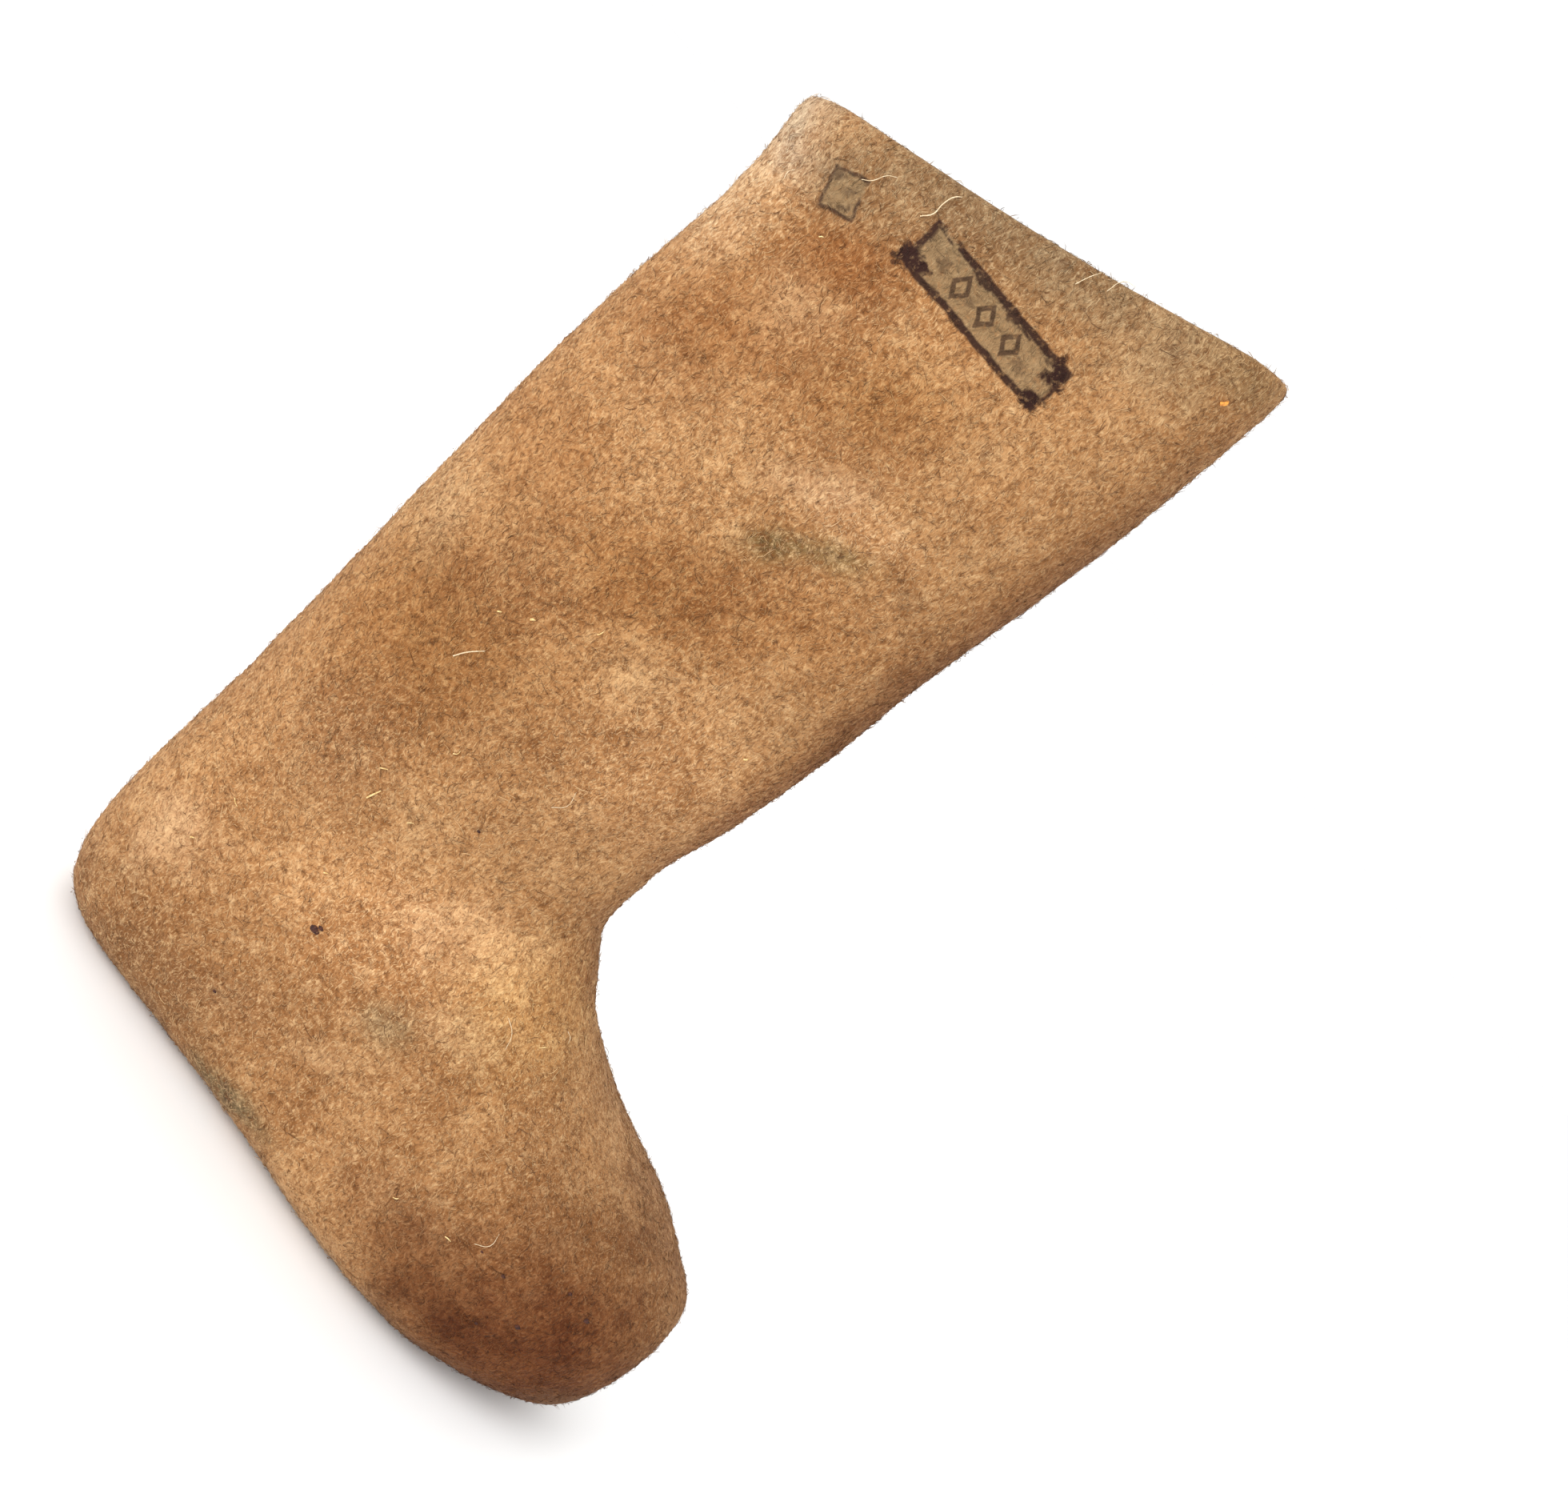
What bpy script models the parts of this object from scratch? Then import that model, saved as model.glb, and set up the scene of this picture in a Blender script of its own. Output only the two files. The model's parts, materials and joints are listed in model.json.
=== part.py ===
"""A valenki boot: one felted wool solid, hollow from its collar to its toe, and a loose felt insole.

The toe points along +X, the sole stands on Z = 0, and the origin is under the middle of the boot.
Every section runs from a point on the sole or back line to a point on the toe, instep or shin line,
and fans round the ankle from upright in the forefoot to nearly level in the shaft.
"""

import math
from collections import namedtuple

import bmesh
import bpy

# Driving sizes, in metres
FOOT_LENGTH = 0.300  # outside, from the back of the heel to the nose of the toe
BALL_WIDTH = 0.116  # outside, at the widest part of the forefoot
TOE_HEIGHT = 0.086  # top of the toe over the floor
TOE_SPRING = 0.031  # underside of the nose over the floor
ARCH_HEIGHT = 0.002  # underside of the waist over the floor
HEEL_HEIGHT = 0.095  # where the rounded heel becomes the straight back line
ANKLE_HEIGHT = 0.228  # where the bend of the instep becomes the straight shin line
SHAFT_HEIGHT = 0.410  # collar over the floor, at the back
COLLAR_RISE = 0.060  # how much higher the collar stands at the shin
COLLAR_WIDTH = 0.080  # outside, from side to side

# Felt thickness
SHAFT_WALL = 0.006
FOOT_WALL = 0.008
SOLE_THICKNESS = 0.011

# Details of the form
SOLE_FLAT = 0.0018  # depth to which the floor has pressed the heel and the forefoot flat
NOSE_BULGE = 0.001  # roundness of the toe's nose in front of the first section
COLLAR_CORNER = 0.004  # how far the collar's edge is worn down at the back and at the shin
COLLAR_DIP = 0.005  # how far the collar's edge dips along each side

# Insole
INSOLE_THICKNESS = 0.004
INSOLE_CLEARANCE = 0.0003  # between the insole and the felt under it, along the middle line
INSOLE_CURL = 0.002  # how much further the insole lifts off the felt towards its sides and ends
INSOLE_COVER = 0.76  # share of the inside's width that the insole covers

# Fineness of the mesh
RING_POINTS = 40
STEPS_PER_SECTION = 3
ARC_SAMPLES = 240
INSOLE_STRIPS = 6  # strips of faces on each side of the insole's middle line

# sole_x and top_x are shares of FOOT_LENGTH, from the back of the heel.
# spring and arch are shares of TOE_SPRING and ARCH_HEIGHT.
# back climbs the back line: 0 floor, 1 heel height, 2 collar.
# top climbs the front: 0 floor, 1 toe height, 2 ankle height, 3 collar.
# leg goes from 0, foot, to 1, shaft: it blends BALL_WIDTH to COLLAR_WIDTH and the walls, and
# width is a share of that blend. square is 2 for a round underside and more for a flatter one.
# edge is the share of the collar's worn corners and dips that a section takes.
Section = namedtuple("Section", "name sole_x spring arch back top_x top width leg square edge")

SECTIONS = [
    Section("nose",        0.989, 1.00, 0.0, 0.00, 0.996, 0.60, 0.24, 0.00, 2.0, 0.0),
    Section("toe_front",   0.966, 0.44, 0.0, 0.00, 0.991, 0.87, 0.48, 0.00, 2.8, 0.0),
    Section("toe",         0.902, 0.16, 0.0, 0.00, 0.939, 1.00, 0.71, 0.00, 3.0, 0.0),
    Section("toe_root",    0.820, 0.03, 0.0, 0.00, 0.853, 1.08, 0.88, 0.00, 3.5, 0.0),
    Section("ball",        0.720, 0.00, 0.0, 0.00, 0.764, 1.13, 0.99, 0.00, 4.4, 0.0),
    Section("waist",       0.580, 0.00, 0.6, 0.00, 0.676, 1.21, 0.97, 0.00, 5.0, 0.0),
    Section("instep",      0.430, 0.00, 1.0, 0.00, 0.598, 1.32, 0.87, 0.00, 4.4, 0.0),
    Section("heel_front",  0.270, 0.00, 0.3, 0.00, 0.545, 1.47, 0.75, 0.00, 4.0, 0.0),
    Section("heel",        0.140, 0.00, 0.0, 0.00, 0.527, 1.64, 0.70, 0.00, 3.6, 0.0),
    Section("heel_corner", 0.042, 0.00, 0.0, 0.08, 0.531, 1.78, 0.69, 0.10, 3.2, 0.0),
    Section("heel_back",   0.004, 0.00, 0.0, 0.46, 0.535, 1.88, 0.72, 0.20, 2.7, 0.0),
    Section("counter",     0.000, 0.00, 0.0, 1.00, 0.541, 2.00, 0.84, 0.40, 2.4, 0.0),
    Section("ankle",      -0.007, 0.00, 0.0, 1.23, 0.549, 2.14, 0.96, 0.80, 2.3, 0.0),
    Section("calf_low",   -0.024, 0.00, 0.0, 1.45, 0.549, 2.33, 1.05, 1.00, 2.1, 0.0),
    Section("calf",       -0.031, 0.00, 0.0, 1.69, 0.560, 2.57, 1.04, 1.00, 2.0, 0.0),
    Section("neck",       -0.026, 0.00, 0.0, 1.87, 0.562, 2.79, 1.01, 1.00, 2.0, 0.0),
    Section("collar",     -0.043, 0.00, 0.0, 2.00, 0.556, 3.00, 1.00, 1.00, 2.0, 1.0),
]

# The insole's rounded ends. Each row gives how far along it is, from 0 at the toe to 1 at the
# heel, and the share of its full width that it has there.
INSOLE_FRONT, INSOLE_REAR = "toe_front", "heel_corner"
INSOLE_ENDS = (
    (0.00, 0.50),
    (0.05, 0.80),
    (0.12, 0.95),
    (0.20, 1.00),
    (0.85, 1.00),
    (0.93, 0.88),
    (1.00, 0.55),
)

FELT_COLOUR = (0.42, 0.25, 0.14, 1.0)
INSOLE_COLOUR = (0.30, 0.27, 0.24, 1.0)
FELT_ROUGHNESS = 0.95

# A ready section: its two end points in the side view, its half width, and its finish
Ready = namedtuple("Ready", "low_x low_z top_x top_z half_width square edge leg back")


def blend(low, high, share):
    """The value a share of the way from low to high."""
    return low + (high - low) * share


def climb(level, heights):
    """The height at a level: whole levels are the given heights, and the rest lies between them."""
    step = min(int(level), len(heights) - 2)
    return blend(heights[step], heights[step + 1], level - step)


def catmull_rom(before, start, end, after, share):
    """A smooth value between start and end, with the slope that their neighbours give."""
    slope = end - before
    bend = 2 * before - 5 * start + 4 * end - after
    twist = 3 * (start - end) + after - before
    return start + 0.5 * (slope * share + bend * share**2 + twist * share**3)


def ready_section(section):
    """Turns a row of shares into a section in metres."""
    back_heights = (0.0, HEEL_HEIGHT, SHAFT_HEIGHT)
    front_heights = (0.0, TOE_HEIGHT, ANKLE_HEIGHT, SHAFT_HEIGHT + COLLAR_RISE)
    sole_z = section.spring * TOE_SPRING + section.arch * ARCH_HEIGHT
    return Ready(
        low_x=section.sole_x * FOOT_LENGTH,
        low_z=sole_z + climb(section.back, back_heights),
        top_x=section.top_x * FOOT_LENGTH,
        top_z=climb(section.top, front_heights),
        half_width=section.width * blend(BALL_WIDTH, COLLAR_WIDTH, section.leg) / 2,
        square=section.square,
        edge=section.edge,
        leg=section.leg,
        back=section.back,
    )


def beyond(end, neighbour):
    """The section that would follow an end section if the boot went on straight."""
    return Ready(*[2 * last - before for last, before in zip(end, neighbour)])


def outer_sections():
    """All sections of the outside, with smooth steps between the rows of the table."""
    rows = [ready_section(section) for section in SECTIONS]
    padded = [beyond(rows[0], rows[1]), *rows, beyond(rows[-1], rows[-2])]
    steps = []
    for before, start, end, after in zip(padded, padded[1:], padded[2:], padded[3:]):
        for step in range(STEPS_PER_SECTION):
            share = step / STEPS_PER_SECTION
            values = [catmull_rom(*four, share) for four in zip(before, start, end, after)]
            steps.append(Ready(*values))
    steps.append(rows[-1])
    return steps


def direction(points, index):
    """Unit direction of a line of side-view points at one of them."""
    ahead = points[min(index + 1, len(points) - 1)]
    behind = points[max(index - 1, 0)]
    along_x, along_z = ahead[0] - behind[0], ahead[1] - behind[1]
    length = math.hypot(along_x, along_z)
    return along_x / length, along_z / length


def inner_sections(outer):
    """The sections of the inside, each set in from the outside by the felt's thickness."""
    low_line = [(s.low_x, s.low_z) for s in outer]
    top_line = [(s.top_x, s.top_z) for s in outer]
    middle = [((a[0] + b[0]) / 2, (a[1] + b[1]) / 2) for a, b in zip(low_line, top_line)]
    inner = []
    for index, section in enumerate(outer):
        wall = blend(FOOT_WALL, SHAFT_WALL, section.leg)
        above_sole = min(1.0, max(0.0, 2 * section.back))
        underside = blend(SOLE_THICKNESS, wall, above_sole)
        low_dx, low_dz = direction(low_line, index)
        top_dx, top_dz = direction(top_line, index)
        ahead, behind = min(index + 1, len(outer) - 1), max(index - 1, 0)
        run = math.dist(middle[ahead], middle[behind])
        flare = outer[ahead].half_width - outer[behind].half_width
        inner.append(section._replace(
            low_x=section.low_x + low_dz * underside,
            low_z=section.low_z - low_dx * underside,
            top_x=section.top_x - top_dz * wall,
            top_z=section.top_z + top_dx * wall,
            half_width=section.half_width - wall * run / math.hypot(run, flare),
        ))
    level_with_rim(inner, outer)
    return inner


def level_with_rim(inner, outer):
    """Slides the ends of the last inner section along the collar's cut, so that the rim is flat."""
    last = outer[-1]
    slope = (last.top_z - last.low_z) / (last.top_x - last.low_x)
    section = inner[-1]
    inner[-1] = section._replace(
        low_z=last.low_z + (section.low_x - last.low_x) * slope,
        top_z=last.low_z + (section.top_x - last.low_x) * slope,
    )


def half_outline(section):
    """One side of a section, from its low end to its top end, as (along, across) from -1 to 1."""
    points = []
    for sample in range(ARC_SAMPLES + 1):
        angle = math.pi * sample / ARC_SAMPLES
        cosine, sine = -math.cos(angle), math.sin(angle)
        power = 2 / section.square if cosine < 0 else 1.0
        along = math.copysign(abs(cosine) ** power, cosine)
        points.append((along, sine**power))
    return points


def evenly(points, half_length, half_width, count):
    """Picks count + 1 points at even distances along an outline, both ends included."""
    distances = [0.0]
    for (a0, c0), (a1, c1) in zip(points, points[1:]):
        distances.append(distances[-1] + math.hypot((a1 - a0) * half_length, (c1 - c0) * half_width))
    picked = []
    index = 0
    for step in range(count + 1):
        wanted = distances[-1] * step / count
        while index < len(points) - 2 and distances[index + 1] < wanted:
            index += 1
        share = (wanted - distances[index]) / (distances[index + 1] - distances[index])
        share = min(1.0, share)
        along = blend(points[index][0], points[index + 1][0], share)
        across = blend(points[index][1], points[index + 1][1], share)
        picked.append((along, across))
    return picked


def ring(section):
    """The points of a section, in order round it, starting at its low end."""
    half_length = math.hypot(section.top_x - section.low_x, section.top_z - section.low_z) / 2
    side = evenly(half_outline(section), half_length, section.half_width, RING_POINTS // 2)
    other_side = [(along, -across) for along, across in side[-2:0:-1]]
    points = []
    for along, across in side + other_side:
        share = (along + 1) / 2
        worn = COLLAR_CORNER * abs(along) ** 10 + COLLAR_DIP * (1 - along**2)
        points.append((
            blend(section.low_x, section.top_x, share),
            across * section.half_width,
            blend(section.low_z, section.top_z, share) - section.edge * worn,
        ))
    return points


def nose_rings(first_ring):
    """Two smaller rings and a tip that round off the nose in front of the first ring."""
    count = len(first_ring)
    middle = [sum(point[axis] for point in first_ring) / count for axis in range(3)]
    rings = []
    for size in (0.8, 0.45):
        forward = NOSE_BULGE * (1 - size**2)
        smaller = [[blend(middle[axis], point[axis], size) for axis in range(3)] for point in first_ring]
        rings.append([(x + forward, y, z) for x, y, z in smaller])
    tip = (middle[0] + NOSE_BULGE, middle[1], middle[2])
    return rings, tip


def pressed(point):
    """Lowers a point by the depth of the sole's flat spots, and stops it at the floor."""
    x, y, z = point
    return x, y, max(0.0, z - SOLE_FLAT)


def add_skin(bm, sections):
    """Adds one surface from the nose to the collar, and returns its last ring of vertices."""
    rings = [ring(section) for section in sections]
    cap, tip = nose_rings(rings[0])
    tip_vertex = bm.verts.new(pressed(tip))
    vertex_rings = [[bm.verts.new(pressed(p)) for p in points] for points in (*reversed(cap), *rings)]
    first = vertex_rings[0]
    for index, vertex in enumerate(first):
        bm.faces.new((tip_vertex, vertex, first[(index + 1) % RING_POINTS]))
    for near, far in zip(vertex_rings, vertex_rings[1:]):
        join_rings(bm, near, far)
    return vertex_rings[-1]


def join_rings(bm, near, far):
    """Joins two rings with four-sided faces."""
    for index in range(RING_POINTS):
        following = (index + 1) % RING_POINTS
        bm.faces.new((near[index], far[index], far[following], near[following]))


def middle_of_box(sections):
    """Where the middle of the boot's length lies, between its rearmost and its foremost point."""
    rearmost = min(section.low_x for section in sections)
    foremost = max(point[0] for point in ring(sections[0]))
    _, tip = nose_rings(ring(sections[0]))
    return (rearmost + max(foremost, tip[0])) / 2


def add_object(name, bm, colour, origin_x):
    """Makes a named, smooth shaded object with its own felt material, in the boot's frame."""
    bmesh.ops.translate(bm, verts=bm.verts, vec=(-origin_x, 0.0, 0.0))
    bmesh.ops.recalc_face_normals(bm, faces=bm.faces)
    mesh = bpy.data.meshes.new(name)
    bm.to_mesh(mesh)
    bm.free()
    material = bpy.data.materials.new(name)
    material.use_nodes = True
    shader = material.node_tree.nodes["Principled BSDF"]
    shader.inputs["Base Color"].default_value = colour
    shader.inputs["Roughness"].default_value = FELT_ROUGHNESS
    shader.inputs["Metallic"].default_value = 0.0
    mesh.materials.append(material)
    mesh.shade_smooth()
    mesh.set_sharp_from_angle(angle=math.radians(50))
    bpy.context.scene.collection.objects.link(bpy.data.objects.new(name, mesh))


def add_felt_boot(outer, inner, origin_x):
    """The boot itself: an outside and an inside, joined by the cut rim of the collar."""
    bm = bmesh.new()
    outer_rim = add_skin(bm, outer)
    inner_rim = add_skin(bm, inner)
    join_rings(bm, outer_rim, inner_rim)
    add_object("felt_boot", bm, FELT_COLOUR, origin_x)


def insole_width(place):
    """The share of its full width that the insole has, place of the way from toe to heel."""
    for (start, width), (end, next_width) in zip(INSOLE_ENDS, INSOLE_ENDS[1:]):
        if place <= end:
            return blend(width, next_width, (place - start) / (end - start))
    return INSOLE_ENDS[-1][1]


def floor_point(points, y):
    """The point on the lower part of a ring that lies y to the side of its middle line."""
    for near, far in zip(points, points[1:]):
        if far[1] >= abs(y):
            share = (abs(y) - near[1]) / (far[1] - near[1])
            return blend(near[0], far[0], share), y, blend(near[2], far[2], share)
    return points[-1]


def insole_row(section, width):
    """The points across the insole's underside, where it covers a share of a section's width."""
    points = ring(section)[: RING_POINTS // 2]
    row = []
    for strip in range(-INSOLE_STRIPS, INSOLE_STRIPS + 1):
        reach = width * strip / INSOLE_STRIPS
        x, y, z = pressed(floor_point(points, section.half_width * reach))
        curl = reach**2 + (1 - width / INSOLE_COVER) ** 2
        row.append((x, y, z + INSOLE_CLEARANCE + INSOLE_CURL * curl))
    return row


def add_insole(inner, origin_x):
    """A loose felt insole that lies on the boot's inner floor, from the toe to the heel."""
    names = [section.name for section in SECTIONS]
    front = names.index(INSOLE_FRONT) * STEPS_PER_SECTION + 2
    rear = names.index(INSOLE_REAR) * STEPS_PER_SECTION - 1
    bm = bmesh.new()
    underside, upside = [], []
    for index in range(front, rear + 1):
        width = INSOLE_COVER * insole_width((index - front) / (rear - front))
        row = insole_row(inner[index], width)
        underside.append([bm.verts.new(point) for point in row])
        upside.append([bm.verts.new((x, y, z + INSOLE_THICKNESS)) for x, y, z in row])
    for layer in (underside, upside):
        for near, far in zip(layer, layer[1:]):
            for place in range(2 * INSOLE_STRIPS):
                bm.faces.new((near[place], near[place + 1], far[place + 1], far[place]))
    for lower, upper in zip(edge_pairs(underside), edge_pairs(upside)):
        bm.faces.new((lower[0], lower[1], upper[1], upper[0]))
    add_object("insole", bm, INSOLE_COLOUR, origin_x)


def edge_pairs(layer):
    """The pairs of neighbouring vertices round the edge of a layer of rows."""
    right = [row[-1] for row in layer]
    left = [row[0] for row in reversed(layer)]
    loop = layer[0][:-1] + right + layer[-1][-2:0:-1] + left[:-1]
    return list(zip(loop, loop[1:] + loop[:1]))


for old in list(bpy.data.objects):
    bpy.data.objects.remove(old)

outside = outer_sections()
inside = inner_sections(outside)
middle_x = middle_of_box(outside)
add_felt_boot(outside, inside, middle_x)
add_insole(inside, middle_x)
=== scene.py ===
import json
import math

import bmesh
import bpy
import numpy as np
from mathutils import Matrix, Vector, noise

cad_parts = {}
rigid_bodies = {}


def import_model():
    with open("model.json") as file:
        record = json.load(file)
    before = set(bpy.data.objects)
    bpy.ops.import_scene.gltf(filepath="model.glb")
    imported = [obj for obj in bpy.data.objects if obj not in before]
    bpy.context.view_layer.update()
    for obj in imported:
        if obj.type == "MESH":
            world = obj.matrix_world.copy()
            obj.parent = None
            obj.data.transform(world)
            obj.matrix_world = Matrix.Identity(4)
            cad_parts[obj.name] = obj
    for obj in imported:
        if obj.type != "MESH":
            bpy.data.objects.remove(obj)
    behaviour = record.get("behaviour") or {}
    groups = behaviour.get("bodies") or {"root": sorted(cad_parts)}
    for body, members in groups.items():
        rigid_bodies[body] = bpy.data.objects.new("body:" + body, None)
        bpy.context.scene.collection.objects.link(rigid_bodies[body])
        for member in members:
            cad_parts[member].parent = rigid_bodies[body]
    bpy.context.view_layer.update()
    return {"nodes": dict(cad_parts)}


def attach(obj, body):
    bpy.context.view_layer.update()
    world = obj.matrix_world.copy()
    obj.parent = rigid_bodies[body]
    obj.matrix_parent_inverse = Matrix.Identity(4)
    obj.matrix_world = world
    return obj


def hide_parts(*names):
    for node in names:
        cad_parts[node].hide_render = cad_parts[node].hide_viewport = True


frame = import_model()
scene = bpy.context.scene

# Camera
# It stands close to the boot's side, a little above its middle and nearer to the heel than to the
# toe, and is rolled so that the standing boot leans across the picture, toe down.
photo_width = 1960
photo_focal_length = 2200  # in pixels of the photo
camera_azimuth = math.radians(-3.70)
camera_elevation = math.radians(15.12)
camera_roll = math.radians(50.73)
camera_distance = 0.6344
camera_target = Vector((0.0086, 0.0, 0.2519))

camera_back = Vector((
    math.sin(camera_azimuth) * math.cos(camera_elevation),
    -math.cos(camera_azimuth) * math.cos(camera_elevation),
    math.sin(camera_elevation),
))
bpy.ops.object.camera_add(location=camera_target + camera_back * camera_distance)
camera = bpy.context.object
camera.name = "camera"
camera.data.lens = camera.data.sensor_width * photo_focal_length / photo_width
camera_level = camera_back.to_track_quat("Z", "Y").to_matrix()
camera.rotation_euler = (camera_level @ Matrix.Rotation(camera_roll, 3, "Z")).to_euler()
scene.camera = camera


# Floor and light
# A wide sheet of white paper lies under the boot, in a white room that lights it from all sides.
# One large soft lamp stands behind the heel, and smaller ones lift the side that shows and the back.
floor_size = 14.0
paper_colour = (0.95, 0.95, 0.945, 1.0)
room_brightness = 1.06


def plain_material(name, colour, roughness):
    """A material with one colour, for what isn't part of the boot."""
    material = bpy.data.materials.new(name)
    material.use_nodes = True
    shader = material.node_tree.nodes["Principled BSDF"]
    shader.inputs["Base Color"].default_value = colour
    shader.inputs["Roughness"].default_value = roughness
    return material


def soft_lamp(name, place, aim, size, watts):
    """A square area lamp that points from its place to its aim."""
    bpy.ops.object.light_add(type="AREA", location=place)
    lamp = bpy.context.object
    lamp.name = name
    lamp.data.size = size
    lamp.data.energy = watts
    lamp.rotation_euler = (Vector(place) - Vector(aim)).to_track_quat("Z", "Y").to_euler()


bpy.ops.object.select_all(action="DESELECT")
bpy.ops.mesh.primitive_plane_add(size=floor_size, location=(0.0, 0.0, 0.0))
floor = bpy.context.object
floor.name = "paper_floor"
floor.data.materials.append(plain_material("white_paper", paper_colour, 0.9))

boot_middle = (0.0, 0.0, 0.22)
soft_lamp("lamp_behind_heel", (-0.95, -0.85, 0.95), boot_middle, 0.9, 13.0)
soft_lamp("lamp_at_side", (0.35, -1.5, 0.75), boot_middle, 1.0, 4.0)
soft_lamp("lamp_far_side", (-0.3, 1.4, 1.1), boot_middle, 1.2, 7.0)

room = bpy.data.worlds.new("white_room")
room.use_nodes = True
room.node_tree.nodes["Background"].inputs["Color"].default_value = (1.0, 1.0, 1.0, 1.0)
room.node_tree.nodes["Background"].inputs["Strength"].default_value = room_brightness
scene.world = room
scene.view_settings.view_transform = "Standard"


# The felted boot
# Carded wool, wetted, beaten and shrunk over a last until it is one thick seamless felt, from the
# sole to the raw edge of the collar. Wear has softened it into shallow troughs and ridges.
def welded_copy(node, name):
    """A piece with a copy of a solid's mesh, its corners welded and its triangles paired into quads."""
    bpy.ops.object.select_all(action="DESELECT")
    piece = bpy.data.objects.new(name, frame["nodes"][node].data.copy())
    scene.collection.objects.link(piece)
    bpy.context.view_layer.objects.active = piece
    piece.select_set(True)
    piece.data.materials.clear()
    bpy.ops.object.mode_set(mode="EDIT")
    bpy.ops.mesh.select_all(action="SELECT")
    bpy.ops.mesh.remove_doubles(threshold=0.00001)
    pairing_angle = math.radians(70)
    bpy.ops.mesh.tris_convert_to_quads(face_threshold=pairing_angle, shape_threshold=pairing_angle)
    bpy.ops.object.mode_set(mode="OBJECT")
    return piece


# The outside is marked first, up to the collar's sharp edge, because only it gets folds and lumps
boot = welded_copy("felt_boot", "boot_body")
bpy.ops.object.mode_set(mode="EDIT")
bpy.ops.mesh.select_all(action="DESELECT")
bpy.ops.mesh.edges_select_sharp(sharpness=math.radians(55))
bpy.ops.mesh.mark_sharp()
bpy.ops.mesh.select_all(action="DESELECT")
edit_mesh = bmesh.from_edit_mesh(boot.data)
sole_face = min(edit_mesh.faces, key=lambda face: face.calc_center_median().z)
sole_face.select_set(True)
bmesh.update_edit_mesh(boot.data)
bpy.ops.mesh.select_linked(delimit={"SHARP"})
bpy.ops.object.vertex_group_add()
boot.vertex_groups.active.name = "outside"
bpy.ops.object.vertex_group_assign()
bpy.ops.mesh.select_all(action="SELECT")
bpy.ops.mesh.mark_sharp(clear=True)
bpy.ops.object.mode_set(mode="OBJECT")

bpy.ops.object.modifier_add(type="SUBSURF")
boot.modifiers[-1].levels = 2
boot.modifiers[-1].render_levels = 2
bpy.ops.object.modifier_apply(modifier=boot.modifiers[-1].name)
bpy.ops.object.shade_smooth()

# Each fold runs from one point of the side view to another, x and z in metres, on one side of the
# boot or on both. depth is how far it goes in, or out where it is negative.
fold_columns = ("start", "end", "side", "depth", "width")
folds = [dict(zip(fold_columns, row)) for row in (
    ((0.012, 0.154), (-0.050, 0.116), "both", 0.0022, 0.015),
    ((0.006, 0.190), (-0.070, 0.178), "both", 0.0014, 0.014),
    ((0.018, 0.130), (-0.030, 0.086), "both", -0.0013, 0.015),
    ((-0.010, 0.214), (-0.090, 0.214), "both", -0.0010, 0.018),
    ((-0.128, 0.120), (-0.088, 0.100), "both", 0.0013, 0.014),
    ((-0.115, 0.250), (-0.040, 0.300), "near", 0.0020, 0.034),
    ((-0.100, 0.345), (-0.020, 0.360), "near", -0.0012, 0.026),
    ((-0.110, 0.275), (-0.050, 0.240), "far", 0.0024, 0.034),
    ((-0.120, 0.392), (-0.090, 0.352), "near", 0.0012, 0.016),
    ((-0.030, 0.428), (-0.020, 0.380), "near", 0.0011, 0.020),
    ((0.040, 0.092), (0.085, 0.040), "both", 0.0009, 0.014),
    ((-0.050, 0.048), (0.020, 0.040), "both", 0.0011, 0.018),
)]


def fold_depth(fold, point):
    """How deep a fold goes at a point on the felt's outside."""
    if fold["side"] != "both" and (fold["side"] == "near") != (point.y < 0):
        return 0.0
    start, end = Vector(fold["start"]), Vector(fold["end"])
    along = end - start
    offset = Vector((point.x, point.z)) - start
    share = min(1.0, max(0.0, offset.dot(along) / along.length_squared))
    away = (offset - along * share).length / fold["width"]
    return fold["depth"] * math.exp(-away * away)


folds_full_at = 0.02  # folds fade out below this height, where the boot stands on the floor
outside_group = boot.vertex_groups["outside"].index
edit_mesh = bmesh.new()
edit_mesh.from_mesh(boot.data)
weights = edit_mesh.verts.layers.deform.active
edit_mesh.normal_update()
moves = []
for vertex in edit_mesh.verts:
    weight = vertex[weights].get(outside_group, 0.0)
    off_floor = min(1.0, vertex.co.z / folds_full_at)
    depth = sum(fold_depth(fold, vertex.co) for fold in folds) * weight * off_floor
    moves.append(-vertex.normal * depth)
for vertex, move in zip(edit_mesh.verts, moves):
    vertex.co += move
edit_mesh.to_mesh(boot.data)
edit_mesh.free()

# Lumps of the wool's own unevenness: their size, their depth, and the share that is pressed in
for lump_size, lump_depth, pressed_in in ((0.024, 0.0012, 0.20), (0.007, 0.0004, 0.50)):
    lumps = bpy.data.textures.new("felt_lumps", "CLOUDS")
    lumps.noise_scale = lump_size
    lumps.noise_depth = 3
    bpy.ops.object.modifier_add(type="DISPLACE")
    boot.modifiers[-1].texture = lumps
    boot.modifiers[-1].texture_coords = "LOCAL"
    boot.modifiers[-1].vertex_group = "outside"
    boot.modifiers[-1].strength = lump_depth
    boot.modifiers[-1].mid_level = pressed_in
    bpy.ops.object.modifier_apply(modifier=boot.modifiers[-1].name)
for vertex in boot.data.vertices:
    vertex.co.z = max(0.0, vertex.co.z)

# The felt's finish and painted light
# Undyed brown wool: mottled tan with redder and paler clouds, short curly fibres, stains at the
# toe, heel and collar, painted shade over the toe and along the shin line, a pale rim of painted
# light along the sole edge, the toe's tip and the back edge, and two ink stamps on the shaft.
felt_tan = (0.400, 0.196, 0.075)
felt_brown = (0.285, 0.125, 0.043)
felt_pale = (0.555, 0.325, 0.150)
felt_shadow = (0.185, 0.070, 0.019)  # between the fibres
fibre_dark = (0.105, 0.043, 0.018)
fibre_light = (0.710, 0.470, 0.240)
felt_roughness = 0.95


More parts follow.
